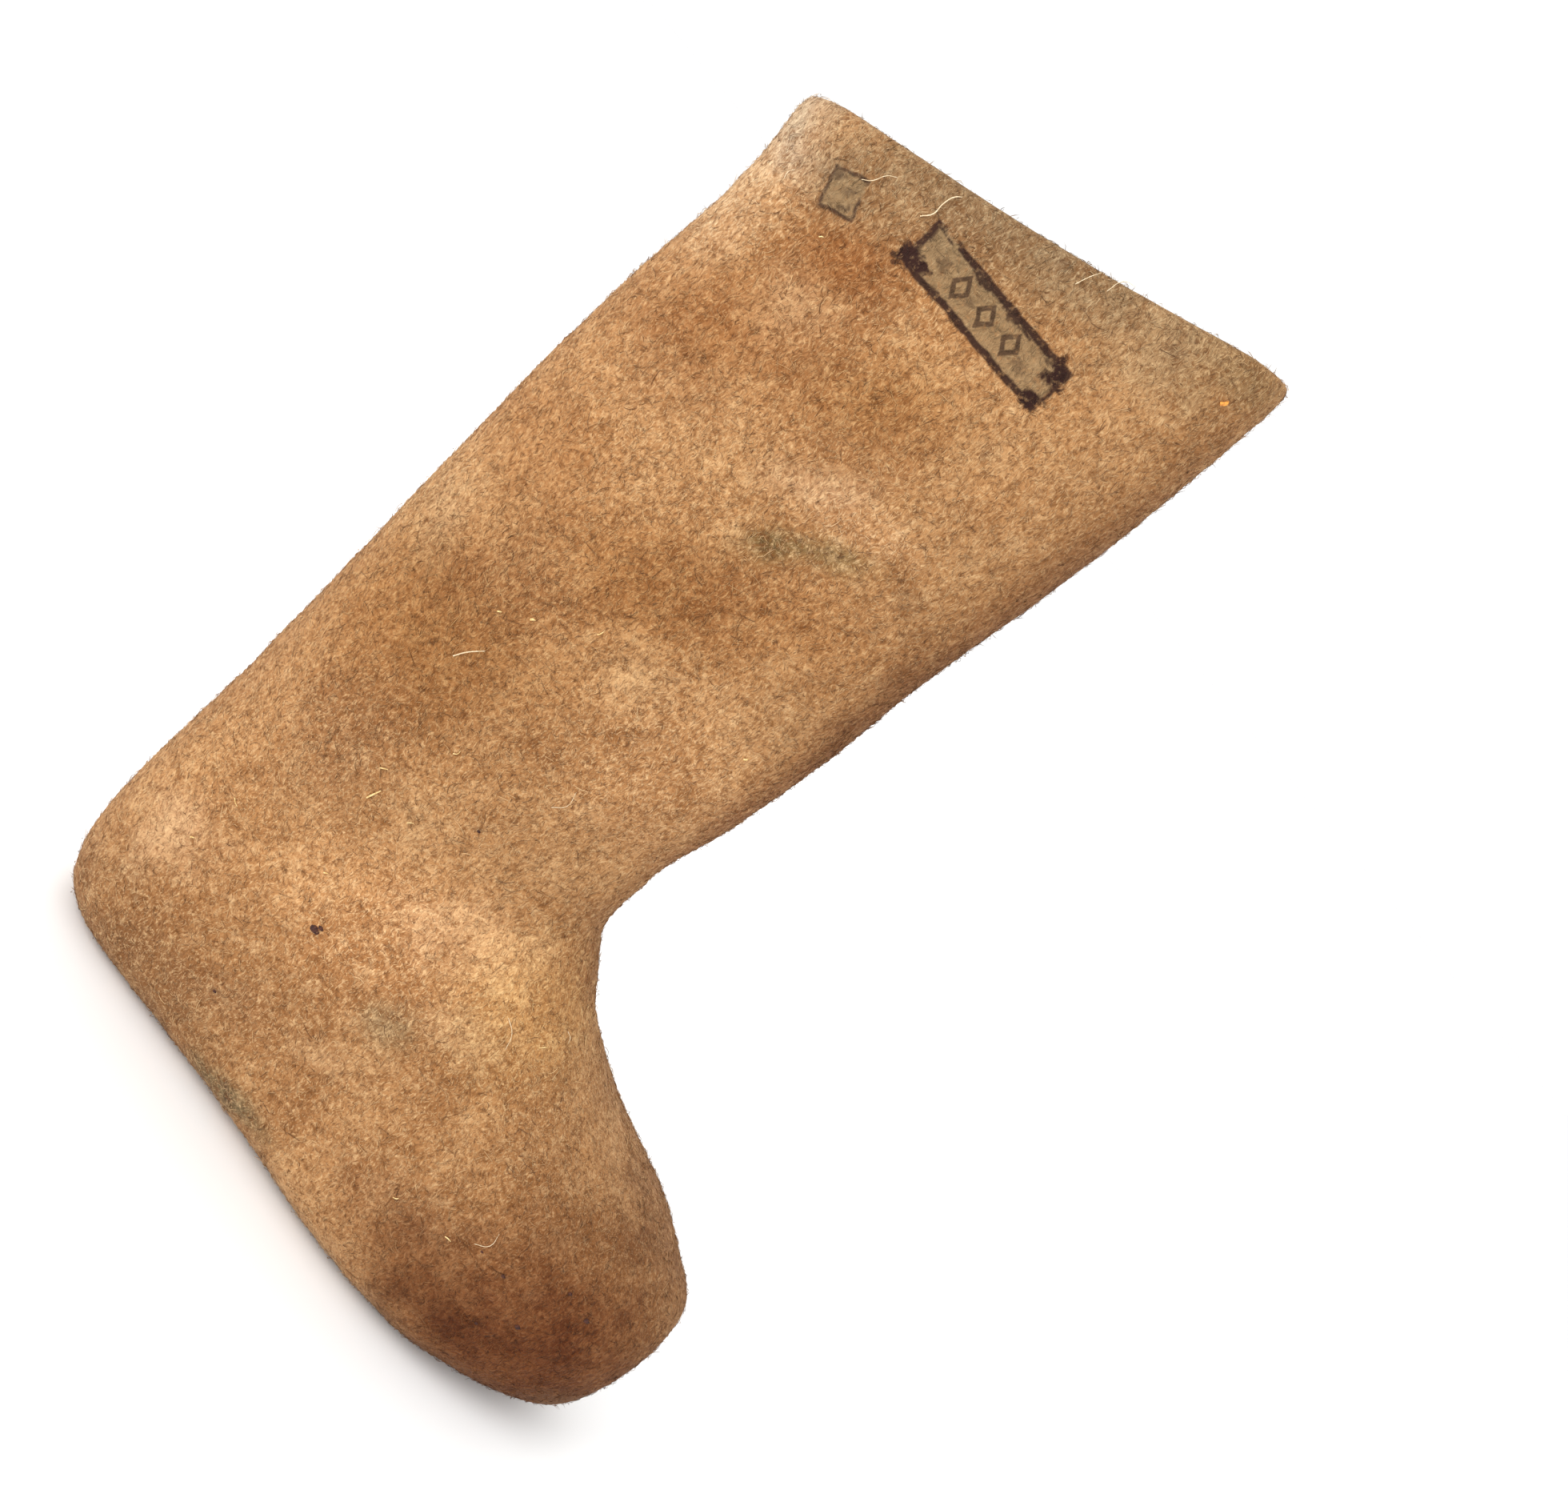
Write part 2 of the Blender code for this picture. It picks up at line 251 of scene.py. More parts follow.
class NodeDesk:
    """Adds nodes to a tree and links them, so that a material reads from its inputs to its outputs."""

    def __init__(self, tree):
        self.tree = tree

    def add(self, kind, settings=None, **links):
        """Adds a node. Settings are its properties, and links give its sockets, by name or place."""
        node = self.tree.nodes.new(kind)
        for name, value in (settings or {}).items():
            setattr(node, name, value)
        for name, value in links.items():
            socket = node.inputs[int(name[1:]) if name[1:].isdigit() else name.replace("_", " ")]
            if isinstance(value, bpy.types.NodeSocket):
                self.tree.links.new(value, socket)
            else:
                socket.default_value = value
        return node

    def maths(self, operation, first, second=0.0, third=0.0, clamp=False):
        """One step of arithmetic, as its output socket."""
        settings = {"operation": operation, "use_clamp": clamp}
        return self.add("ShaderNodeMath", settings, i0=first, i1=second, i2=third).outputs[0]

    def vector_maths(self, operation, first, second=(0.0, 0.0, 0.0)):
        """One step of arithmetic on vectors, as its output node's sockets."""
        return self.add("ShaderNodeVectorMath", {"operation": operation}, i0=first, i1=second).outputs

    def mixed(self, factor, low, high, how="MIX"):
        """A colour between two others."""
        settings = {"data_type": "RGBA", "blend_type": how, "clamp_factor": True}
        node = self.add("ShaderNodeMix", settings, i0=factor, i6=low, i7=high)
        return node.outputs[2]

    def noise(self, vector, scale, detail=2.0, roughness=0.5, distortion=0.0):
        """Soft noise from 0 to 1."""
        return self.add(
            "ShaderNodeTexNoise", Vector=vector, Scale=scale, Detail=detail,
            Roughness=roughness, Distortion=distortion,
        ).outputs["Fac"]

    def ramp(self, value, start, end, share=1.0):
        """0 at start, share at end and smooth between them."""
        settings = {"interpolation_type": "SMOOTHSTEP"}
        return self.add("ShaderNodeMapRange", settings, Value=value, i1=start, i2=end, i4=share).outputs[0]


def new_group(name, inputs, outputs):
    """A shader node group with named sockets, and its desk, input node and output node."""
    tree = bpy.data.node_groups.new(name, "ShaderNodeTree")
    for in_out, sockets in (("INPUT", inputs), ("OUTPUT", outputs)):
        for socket_name, kind, value in sockets:
            socket = tree.interface.new_socket(socket_name, in_out=in_out, socket_type=f"NodeSocket{kind}")
            if value is not None:
                socket.default_value = value
    desk = NodeDesk(tree)
    return tree, desk, desk.add("NodeGroupInput").outputs, desk.add("NodeGroupOutput").inputs


def opaque(colour):
    """A colour with full alpha."""
    return (*colour, 1.0)


# Short fibres, laid in three directions: bright and dark streaks, and their height
curl_depth, fibre_scale, fibre_stretch = 0.0055, 620.0, (2.6, 2.6, 0.6)
fibres_group, desk, given, result = new_group(
    "felted_fibres",
    [("Vector", "Vector", None), ("Fineness", "Float", 1.0)],
    [("Light", "Float", None), ("Dark", "Float", None), ("Height", "Float", None)],
)
curl = desk.add("ShaderNodeTexNoise", Vector=given["Vector"], Scale=150.0, Detail=2.0).outputs["Color"]
curl = desk.vector_maths("SUBTRACT", curl, (0.5, 0.5, 0.5))[0]
curl = desk.vector_maths("MULTIPLY", curl, (curl_depth, curl_depth, curl_depth))[0]
curled = desk.vector_maths("ADD", given["Vector"], curl)[0]
layers = []
for tilt in (12.0, 74.0, 133.0):
    turn = (math.radians(tilt * 0.6), math.radians(tilt), math.radians(tilt * 0.3))
    laid = desk.add("ShaderNodeMapping", Vector=curled, Rotation=turn, Scale=fibre_stretch).outputs[0]
    scale = desk.maths("MULTIPLY", given["Fineness"], fibre_scale)
    layers.append(desk.noise(laid, scale, detail=1.5, roughness=0.6))
brightest = desk.maths("MAXIMUM", desk.maths("MAXIMUM", layers[0], layers[1]), layers[2])
darkest = desk.maths("MINIMUM", desk.maths("MINIMUM", layers[0], layers[1]), layers[2])
desk.tree.links.new(desk.ramp(brightest, 0.58, 0.74), result["Light"])
desk.tree.links.new(desk.ramp(darkest, 0.42, 0.25), result["Dark"])
desk.tree.links.new(desk.maths("ADD", brightest, darkest), result["Height"])

# A blot of ink: a soft-edged oval patch with a ragged rim, from 0 outside to 1 inside
blot_group, desk, given, result = new_group(
    "ink_blot",
    [("Vector", "Vector", None), ("Centre", "Vector", None), ("Reach", "Vector", (0.01, 0.01, 0.01)),
     ("Ragged", "Float", 0.0), ("Softness", "Float", 0.5)],
    [("Mask", "Float", None)],
)
offset = desk.vector_maths("SUBTRACT", given["Vector"], given["Centre"])[0]
offset = desk.vector_maths("DIVIDE", offset, given["Reach"])[0]
away = desk.maths("ADD", desk.vector_maths("LENGTH", offset)["Value"], given["Ragged"])
inner = desk.maths("SUBTRACT", 1.0, given["Softness"])
desk.tree.links.new(desk.ramp(away, 1.0, inner), result["Mask"])

# An ink stamp: a frame of uneven bars, its inked field, a row of lozenges in it, and where a point
# lies along and up from the stamp's middle
ink_edge = 0.0005  # over how much the ink fades at an edge
end_margin = 0.013  # how much of the field's ends holds no lozenge
lozenge_slant, lozenge_share = 1.3, 0.5  # its sides' slope, and its height next to the stamp's
lozenge_line = 1.1  # its line's width next to the frame's bars
stamp_group, desk, given, result = new_group(
    "ink_stamp",
    [("Vector", "Vector", None), ("Centre", "Vector", None), ("Turn", "Float", 0.0),
     ("Half length", "Float", 0.03), ("Half height", "Float", 0.008), ("Bar", "Float", 0.0015),
     ("Lozenge step", "Float", 0.01), ("Smudge", "Float", 0.0)],
    [("Bars", "Float", None), ("Field", "Float", None), ("Lozenges", "Float", None),
     ("Spot", "Vector", None), ("Near side", "Float", None)],
)
offset = desk.vector_maths("SUBTRACT", given["Vector"], given["Centre"])[0]
turned = desk.add(
    "ShaderNodeVectorRotate", {"rotation_type": "Y_AXIS"}, Vector=offset, Angle=given["Turn"],
).outputs[0]
split = desk.add("ShaderNodeSeparateXYZ", Vector=turned).outputs
near_side = desk.ramp(split["Y"], 0.0, -0.01)
up = desk.maths("ABSOLUTE", split["Z"])
past_end = desk.maths("SUBTRACT", desk.maths("ABSOLUTE", split["X"]), given["Half length"])
past_edge = desk.maths("SUBTRACT", up, given["Half height"])
outline = desk.maths("ADD", desk.maths("MAXIMUM", past_end, past_edge), given["Smudge"])
bar_distance = desk.maths("SUBTRACT", desk.maths("ABSOLUTE", outline), given["Bar"])
step = desk.maths("DIVIDE", split["X"], given["Lozenge step"])
within = desk.maths("SUBTRACT", desk.maths("FRACT", desk.maths("ADD", step, 0.5)), 0.5)
within = desk.maths("MULTIPLY", desk.maths("ABSOLUTE", within), given["Lozenge step"])
lozenge = desk.maths("ADD", desk.maths("MULTIPLY", within, lozenge_slant), up)
half_lozenge = desk.maths("MULTIPLY", given["Half height"], lozenge_share)
lozenge = desk.maths("SUBTRACT", lozenge, half_lozenge)
lozenge = desk.maths("ABSOLUTE", desk.maths("ADD", lozenge, given["Smudge"]))
rim = desk.maths("SUBTRACT", lozenge, desk.maths("MULTIPLY", given["Bar"], lozenge_line))
inside_ends = desk.ramp(desk.maths("ADD", past_end, end_margin), ink_edge, -ink_edge)
lozenges = desk.maths("MULTIPLY", desk.ramp(rim, ink_edge, -ink_edge), inside_ends)
masks = {
    "Bars": desk.ramp(bar_distance, ink_edge, -ink_edge),
    "Field": desk.ramp(outline, ink_edge, -ink_edge),
    "Lozenges": lozenges,
}
for name, mask in masks.items():
    desk.tree.links.new(desk.maths("MULTIPLY", mask, near_side), result[name])
desk.tree.links.new(turned, result["Spot"])
desk.tree.links.new(near_side, result["Near side"])

# Stains, and painted light and shade: where each lies, how far it reaches along, across and up, how
# it is turned, its colour, how strong and how soft it is
stain_and_painted_light_columns = ("centre", "reach", "turn", "colour", "strength", "softness")
stains_and_painted_light = [dict(zip(stain_and_painted_light_columns, row)) for row in (
    # dirt on the toe, deepened with painted shade, and the worn heel
    ((0.122, 0.000, 0.034), (0.085, 0.100, 0.066), 0.0, (0.180, 0.066, 0.025), 0.55, 0.95),
    ((-0.084, 0.000, 0.018), (0.070, 0.085, 0.040), 0.0, (0.140, 0.062, 0.024), 0.72, 0.95),
    # the next two: a pale rim of painted light along the sole's edge and at the toe's tip
    ((0.040, 0.000, 0.000), (0.120, 0.090, 0.020), 0.0, (0.380, 0.280, 0.180), 0.60, 0.80),
    ((0.152, 0.000, 0.024), (0.034, 0.060, 0.020), 0.0, (0.460, 0.370, 0.250), 0.80, 0.85),
    # a dark olive mark low on the near side, by the sole
    ((-0.026, -0.043, 0.014), (0.034, 0.020, 0.011), 0.2, (0.110, 0.090, 0.045), 0.85, 0.85),
    # the next two: painted shadow of a second boot, not in the scene, and painted shade on the shin line
    ((0.026, 0.000, 0.270), (0.028, 0.050, 0.200), 0.0, (0.150, 0.050, 0.020), 0.55, 0.90),
    ((0.020, 0.000, 0.150), (0.030, 0.045, 0.040), 0.0, (0.260, 0.110, 0.045), 0.40, 0.95),
    # the collar
    ((-0.064, -0.030, 0.430), (0.125, 0.070, 0.030), 0.31, (0.250, 0.150, 0.070), 0.40, 0.80),
    ((0.006, -0.010, 0.452), (0.032, 0.045, 0.024), 0.6, (0.180, 0.110, 0.045), 0.75, 0.95),
    ((-0.016, -0.030, 0.438), (0.034, 0.040, 0.026), 0.3, (0.420, 0.265, 0.130), 0.40, 0.95),
    # a pale rim of painted light on the collar's back edge
    ((-0.142, -0.010, 0.402), (0.030, 0.050, 0.030), 0.0, (0.400, 0.275, 0.165), 0.45, 0.95),
    # the olive smudge on the shaft and the grey felted-over patch on the foot
    ((-0.050, -0.041, 0.304), (0.019, 0.030, 0.0095), 0.78, (0.080, 0.064, 0.022), 0.85, 0.85),
    ((-0.034, -0.041, 0.317), (0.028, 0.030, 0.0080), 0.62, (0.140, 0.104, 0.040), 0.65, 0.90),
    ((-0.007, -0.044, 0.084), (0.016, 0.020, 0.014), 0.5, (0.220, 0.150, 0.075), 0.66, 0.80),
    # browner clouds
    ((-0.120, -0.036, 0.320), (0.040, 0.060, 0.034), 0.6, (0.270, 0.120, 0.046), 0.45, 0.95),
    ((-0.094, -0.040, 0.355), (0.045, 0.040, 0.026), 0.9, (0.290, 0.130, 0.050), 0.40, 0.95),
    ((-0.054, -0.040, 0.348), (0.040, 0.040, 0.022), 0.7, (0.290, 0.130, 0.052), 0.40, 0.95),
    ((-0.100, -0.040, 0.225), (0.050, 0.060, 0.030), 0.7, (0.245, 0.105, 0.040), 0.55, 0.95),
    ((-0.056, -0.040, 0.272), (0.042, 0.040, 0.022), 0.6, (0.260, 0.112, 0.043), 0.50, 0.95),
    ((-0.094, -0.040, 0.142), (0.034, 0.040, 0.036), 0.4, (0.275, 0.125, 0.050), 0.45, 0.95),
    ((-0.052, -0.041, 0.040), (0.034, 0.030, 0.016), 0.4, (0.240, 0.110, 0.045), 0.50, 0.95),
    ((0.050, -0.050, 0.050), (0.050, 0.030, 0.022), 0.3, (0.270, 0.120, 0.048), 0.40, 0.95),
    ((-0.060, 0.045, 0.280), (0.050, 0.040, 0.050), 0.5, (0.280, 0.120, 0.050), 0.40, 0.95),
    ((-0.030, 0.045, 0.090), (0.050, 0.040, 0.040), 0.3, (0.290, 0.130, 0.055), 0.35, 0.95),
    # paler and pinker clouds
    ((-0.045, -0.041, 0.240), (0.017, 0.040, 0.010), 0.6, (0.680, 0.420, 0.200), 0.62, 0.80),
    ((-0.010, -0.036, 0.128), (0.045, 0.040, 0.024), 0.5, (0.560, 0.330, 0.165), 0.40, 0.95),
    ((-0.112, -0.034, 0.066), (0.026, 0.030, 0.026), 0.7, (0.600, 0.370, 0.200), 0.50, 0.95),
    ((-0.015, -0.045, 0.056), (0.026, 0.030, 0.010), 0.5, (0.580, 0.350, 0.170), 0.45, 0.95),
    ((-0.104, -0.037, 0.357), (0.022, 0.040, 0.016), 0.9, (0.600, 0.370, 0.190), 0.50, 0.95),
    ((-0.055, -0.041, 0.328), (0.034, 0.040, 0.010), 0.7, (0.560, 0.340, 0.180), 0.35, 0.95),
    ((-0.129, -0.027, 0.221), (0.018, 0.030, 0.026), 0.3, (0.540, 0.350, 0.190), 0.35, 0.95),
    ((0.011, -0.041, 0.104), (0.024, 0.030, 0.014), 0.4, (0.560, 0.350, 0.180), 0.35, 0.95),
    ((0.101, -0.050, 0.061), (0.006, 0.020, 0.004), 0.4, (0.480, 0.300, 0.160), 0.50, 0.95),
)]

# Wear and painted light and shade, placed as the stains are: tints that darken or lighten the felt
# and its fibres alike
tint_columns = ("centre", "reach", "turn", "tint")
tints = [dict(zip(tint_columns, row)) for row in (
    # dirt and painted shade on the toe, painted shadow along the shin line, a pale rim of painted light
    # on the collar's back edge, and the grey bloom of the collar
    ((0.122, -0.020, 0.030), (0.104, 0.160, 0.098), 0.0, (0.37, 0.24, 0.165)),
    ((0.112, -0.050, 0.046), (0.070, 0.060, 0.056), 0.0, (0.84, 0.72, 0.66)),
    ((0.066, -0.030, 0.034), (0.056, 0.100, 0.028), 0.0, (0.66, 0.56, 0.50)),
    ((0.026, -0.006, 0.280), (0.026, 0.060, 0.220), 0.0, (0.64, 0.52, 0.42)),
    ((-0.152, -0.010, 0.384), (0.032, 0.060, 0.060), 0.3, (1.22, 1.42, 1.75)),
    ((-0.080, -0.030, 0.430), (0.112, 0.090, 0.038), 0.31, (0.68, 0.74, 0.82)),
    # red-brown clouds on the shaft
    ((-0.100, -0.020, 0.200), (0.078, 0.070, 0.064), 0.7, (0.72, 0.62, 0.49)),
    ((-0.023, -0.020, 0.292), (0.044, 0.070, 0.030), 0.6, (0.95, 0.89, 0.82)),
    ((-0.064, -0.020, 0.266), (0.062, 0.070, 0.034), 0.6, (0.78, 0.68, 0.54)),
    ((-0.122, -0.020, 0.262), (0.034, 0.070, 0.036), 0.5, (0.84, 0.76, 0.68)),
    ((-0.112, -0.020, 0.336), (0.050, 0.070, 0.034), 0.6, (0.80, 0.70, 0.60)),
    ((-0.100, -0.020, 0.381), (0.030, 0.070, 0.020), 0.4, (0.72, 0.58, 0.46)),
    ((-0.060, -0.020, 0.360), (0.046, 0.070, 0.030), 0.6, (0.80, 0.72, 0.60)),
    ((-0.118, -0.020, 0.398), (0.026, 0.070, 0.022), 0.3, (0.76, 0.80, 0.84)),
    # a pale rim of painted light on the back edge, then the ankle, the heel and the line over it,
    # rubbed pale
    ((-0.142, -0.010, 0.215), (0.030, 0.060, 0.044), 0.0, (1.14, 1.22, 1.30)),
    ((-0.037, -0.020, 0.106), (0.066, 0.080, 0.050), 0.4, (1.36, 1.40, 1.46)),
    ((-0.006, -0.020, 0.222), (0.060, 0.080, 0.052), 0.6, (1.26, 1.30, 1.36)),
    ((0.022, -0.020, 0.124), (0.046, 0.080, 0.044), 0.5, (1.24, 1.28, 1.20)),
    ((-0.100, -0.020, 0.086), (0.046, 0.080, 0.050), 0.4, (1.08, 1.08, 1.08)),
    ((-0.036, -0.020, 0.330), (0.036, 0.080, 0.014), 0.4, (1.26, 1.34, 1.48)),
)]

# Small brown marks, each a few fibres wide: x, z, reach and strength, all on the side that shows
small_mark_colour = (0.075, 0.030, 0.014)
small_marks = (
    (-0.0263, 0.3763, 0.0022, 0.70),
    (-0.0555, 0.4330, 0.0026, 0.55),
    (-0.0136, 0.4406, 0.0028, 0.55),
    (-0.1043, 0.0368, 0.0024, 0.60),
    (-0.0583, 0.0383, 0.0022, 0.75),
    (-0.0536, 0.0392, 0.0020, 0.75),
    (-0.0400, 0.1588, 0.0018, 0.85),
    (-0.0310, 0.0176, 0.0026, 0.80),
    (-0.0259, 0.0143, 0.0022, 0.80),
    (0.0956, 0.0374, 0.0024, 0.70),
    (0.1132, 0.0404, 0.0024, 0.70),
    (0.0640, 0.0330, 0.0026, 0.50),
    (0.1148, 0.0935, 0.0030, 0.55),
    (-0.0720, 0.2100, 0.0022, 0.45),
    (-0.1166, 0.2084, 0.0024, 0.50),
)

near_felt = 0.045  # how far the felt's near side lies from the boot's middle plane
small_mark_softness, tint_softness = 0.70, 0.85
stain_and_light_fray, small_mark_fray = (0.018, 0.34), (0.005, 0.9)  # the size and depth of ragged rims
tint_fray_share = 0.3  # how ragged a tint's rim is, next to a stain's


def points_of(mesh):
    """The places of a mesh's points, as an array."""
    points = np.empty(len(mesh.vertices) * 3)
    mesh.vertices.foreach_get("co", points)
    return points.reshape(-1, 3)


def fray(points, size, depth):
    """Soft noise at each point, which makes a mark's rim ragged."""
    return depth * np.array([noise.fractal(Vector(point) / size, 1.0, 2.0, 4) for point in points])


def cover(points, ragged, centre, reach, turn, softness):
    """How far a soft oval mark covers each point, from 0 outside it to 1 inside, as a column."""
    offset = points - np.array(centre)
    along = offset[:, 0] * math.cos(turn) + offset[:, 2] * math.sin(turn)
    up = offset[:, 2] * math.cos(turn) - offset[:, 0] * math.sin(turn)
    away = np.hypot(np.hypot(along / reach[0], offset[:, 1] / reach[1]), up / reach[2]) + ragged
    share = np.clip((1 - away) / softness, 0.0, 1.0)
    return (share * share * (3 - 2 * share))[:, None]


def lay_wear_and_painted_light(mesh, points):
    """Stores on a mesh what stains, tints and painted light and shade do to its points or fibres' roots.
    """
    ragged = fray(points, *stain_and_light_fray)
    stain = np.zeros((len(points), 4))
    for mark in stains_and_painted_light:
        share = cover(points, ragged, mark["centre"], mark["reach"], mark["turn"], mark["softness"])
        stain += (opaque(mark["colour"]) - stain) * share * mark["strength"]
    frayed = fray(points, *small_mark_fray)
    for x, z, reach, strength in small_marks:
        centre, reaches = (x, -near_felt, z), (reach, near_felt, reach)
        share = cover(points, frayed, centre, reaches, 0.0, small_mark_softness)
        stain += (opaque(small_mark_colour) - stain) * share * strength
    ragged *= tint_fray_share
    tint = np.ones((len(points), 4))
    for mark in tints:
        share = cover(points, ragged, mark["centre"], mark["reach"], mark["turn"], tint_softness)
        tint *= 1 + (np.array(opaque(mark["tint"])) - 1) * share
    for name, values in (("stain", stain), ("tint", tint)):
        values = np.repeat(values, len(mesh.vertices) // len(points), axis=0)
        mesh.attributes.new(name, "FLOAT_COLOR", "POINT").data.foreach_set("color", values.ravel())


# The felt's colour: clouds, mottle, fibres, stains with painted light and shade, and stamps. Tone
# lightens or darkens one fibre, and the colour of stains and painted light comes already multiplied by its
# share.
colour_group, desk, given, result = new_group(
    "felt_colour",
    [("Vector", "Vector", None), ("Tone", "Float", 0.5), ("Stain", "Color", None),
     ("Stain share", "Float", 0.0), ("Tint", "Color", None)],
    [("Color", "Color", None), ("Height", "Float", None)],
)
place = given["Vector"]
fibres = desk.add("ShaderNodeGroup", {"node_tree": fibres_group}, Vector=place).outputs
clouds = desk.noise(place, 13.0, detail=3.0, roughness=0.55, distortion=0.3)
patches = desk.noise(place, 55.0, detail=4.0, roughness=0.62, distortion=0.4)
mottle = desk.noise(place, 190.0, detail=3.0, roughness=0.65, distortion=0.6)
grain = desk.noise(place, 560.0, detail=2.0, roughness=0.60, distortion=0.4)
colour = desk.mixed(desk.ramp(clouds, 0.34, 0.58), opaque(felt_brown), opaque(felt_tan))
colour = desk.mixed(desk.ramp(clouds, 0.52, 0.74, 0.30), colour, opaque(felt_pale))
colour = desk.mixed(desk.ramp(patches, 0.49, 0.34, 0.38), colour, opaque(felt_brown))
colour = desk.mixed(desk.ramp(patches, 0.52, 0.68, 0.30), colour, opaque(felt_pale))
colour = desk.mixed(given["Stain share"], colour, opaque((0.0, 0.0, 0.0)))
colour = desk.mixed(1.0, colour, given["Stain"], how="ADD")
colour = desk.mixed(desk.ramp(mottle, 0.49, 0.30, 0.66), colour, opaque(felt_shadow))
colour = desk.mixed(desk.ramp(mottle, 0.53, 0.70, 0.26), colour, opaque(fibre_light))
colour = desk.mixed(desk.ramp(grain, 0.49, 0.30, 0.66), colour, opaque(felt_shadow))
colour = desk.mixed(desk.ramp(grain, 0.54, 0.72, 0.40), colour, opaque(fibre_light))
colour = desk.mixed(desk.maths("MULTIPLY", fibres["Dark"], 0.60), colour, opaque(fibre_dark))
colour = desk.mixed(desk.maths("MULTIPLY", fibres["Light"], 0.48), colour, opaque(fibre_light))
colour = desk.mixed(desk.ramp(given["Tone"], 0.45, 0.0, 0.90), colour, opaque(fibre_dark))
colour = desk.mixed(desk.ramp(given["Tone"], 0.55, 1.0, 0.80), colour, opaque(fibre_light))
colour = desk.mixed(1.0, colour, given["Tint"], how="MULTIPLY")

# The stamps on the shaft: an oblong one that was pressed unevenly and a small square one
ink_dark = (0.030, 0.012, 0.009)
ink_grey = (0.215, 0.150, 0.078)
stamp_columns = ("centre", "turn", "half_length", "half_height", "bar", "step", "bars", "field", "marks")
stamps = [dict(zip(stamp_columns, row)) for row in (
    ((-0.0597, -0.020, 0.4038), 0.02, 0.0308, 0.0076, 0.0012, 0.0118, 0.95, 0.66, 0.76),
    ((-0.1190, -0.020, 0.3940), 0.40, 0.0060, 0.0064, 0.0007, 0.0080, 0.80, 0.55, 0.00),
)]
# Blots of ink on the stamps: which stamp, along, up, reach along and reach up, and their strength.
# Where the strength is negative, the stamp left no ink.
ink_blots = (
    (0, -0.0280, -0.0056, 0.0078, 0.0044, 1.00),
    (0, -0.0305, 0.0030, 0.0022, 0.0060, 0.80),
    (0, -0.0340, -0.0090, 0.0016, 0.0012, 0.80),
    (0, -0.0320, -0.0105, 0.0012, 0.0010, 0.70),
    (0, -0.0060, 0.0070, 0.0130, 0.0021, 0.90),
    (0, 0.0060, 0.0066, 0.0100, 0.0024, 0.90),
    (0, -0.0150, -0.0074, 0.0140, 0.0018, 0.85),
    (0, -0.0215, 0.0010, 0.0040, 0.0034, 0.45),
    (0, -0.0060, -0.0010, 0.0030, 0.0028, 0.40),
    (0, 0.0190, -0.0020, 0.0044, 0.0030, 0.35),
    (0, 0.0286, 0.0046, 0.0060, 0.0062, 1.00),
    (0, 0.0286, -0.0064, 0.0058, 0.0044, 1.00),
    (0, 0.0240, 0.0058, 0.0050, 0.0022, 0.70),
    (0, -0.0250, 0.0076, 0.0055, 0.0022, -1.00),
    (0, 0.0300, -0.0010, 0.0016, 0.0028, -0.60),
    (1, -0.0045, 0.0040, 0.0030, 0.0028, 0.55),
    (1, 0.0030, -0.0042, 0.0034, 0.0022, 0.60),
    (1, 0.0010, 0.0008, 0.0034, 0.0026, 0.40),
    (1, 0.0062, 0.0030, 0.0016, 0.0036, -0.70),
)
bar_wobble, blot_fray, blot_softness = 0.0026, 2.4, 0.6
blot_across, blot_depth = -0.018, 0.030  # where a blot lies across the boot from its stamp's middle
wobble = desk.maths("SUBTRACT", desk.noise(place, 150.0, detail=3.0), 0.5)
wobble = desk.maths("MULTIPLY", wobble, bar_wobble)
ink_fray = desk.maths("MULTIPLY", desk.maths("SUBTRACT", mottle, 0.5), blot_fray)
worn = desk.ramp(desk.noise(place, 420.0, detail=3.0, roughness=0.7), 0.30, 0.50)
worn = desk.maths("ADD", desk.maths("MULTIPLY", worn, 0.45), 0.55)
for which, stamp in enumerate(stamps):
    ink = desk.add(
        "ShaderNodeGroup", {"node_tree": stamp_group}, Vector=place, Centre=stamp["centre"],
        Turn=stamp["turn"], Half_length=stamp["half_length"], Half_height=stamp["half_height"],
        Bar=stamp["bar"], Lozenge_step=stamp["step"], Smudge=wobble,
    ).outputs
    dark = desk.maths("MULTIPLY", ink["Bars"], stamp["bars"])
    dark = desk.maths("MAXIMUM", dark, desk.maths("MULTIPLY", ink["Lozenges"], stamp["marks"]))
    for stamp_number, along, up, reach_along, reach_up, strength in ink_blots:
        if stamp_number != which:
            continue
        blot = desk.add(
            "ShaderNodeGroup", {"node_tree": blot_group}, Vector=ink["Spot"],
            Centre=(along, blot_across, up), Reach=(reach_along, blot_depth, reach_up),
            Ragged=ink_fray, Softness=blot_softness,
        ).outputs[0]
        blot = desk.maths("MULTIPLY", blot, strength)
        how = "MAXIMUM" if strength > 0 else "ADD"
        dark = desk.maths(how, dark, desk.maths("MULTIPLY", blot, ink["Near side"]), clamp=True)
    field = desk.maths("MULTIPLY", desk.maths("MULTIPLY", ink["Field"], stamp["field"]), worn)
    colour = desk.mixed(field, colour, opaque(ink_grey))
    colour = desk.mixed(desk.maths("MULTIPLY", dark, worn), colour, opaque(ink_dark))
desk.tree.links.new(colour, result["Color"])
mottle_relief, grain_relief = 1.2, 0.6
relief = desk.maths("ADD", fibres["Height"], desk.maths("MULTIPLY", mottle, mottle_relief))
relief = desk.maths("ADD", relief, desk.maths("MULTIPLY", grain, grain_relief))
desk.tree.links.new(relief, result["Height"])


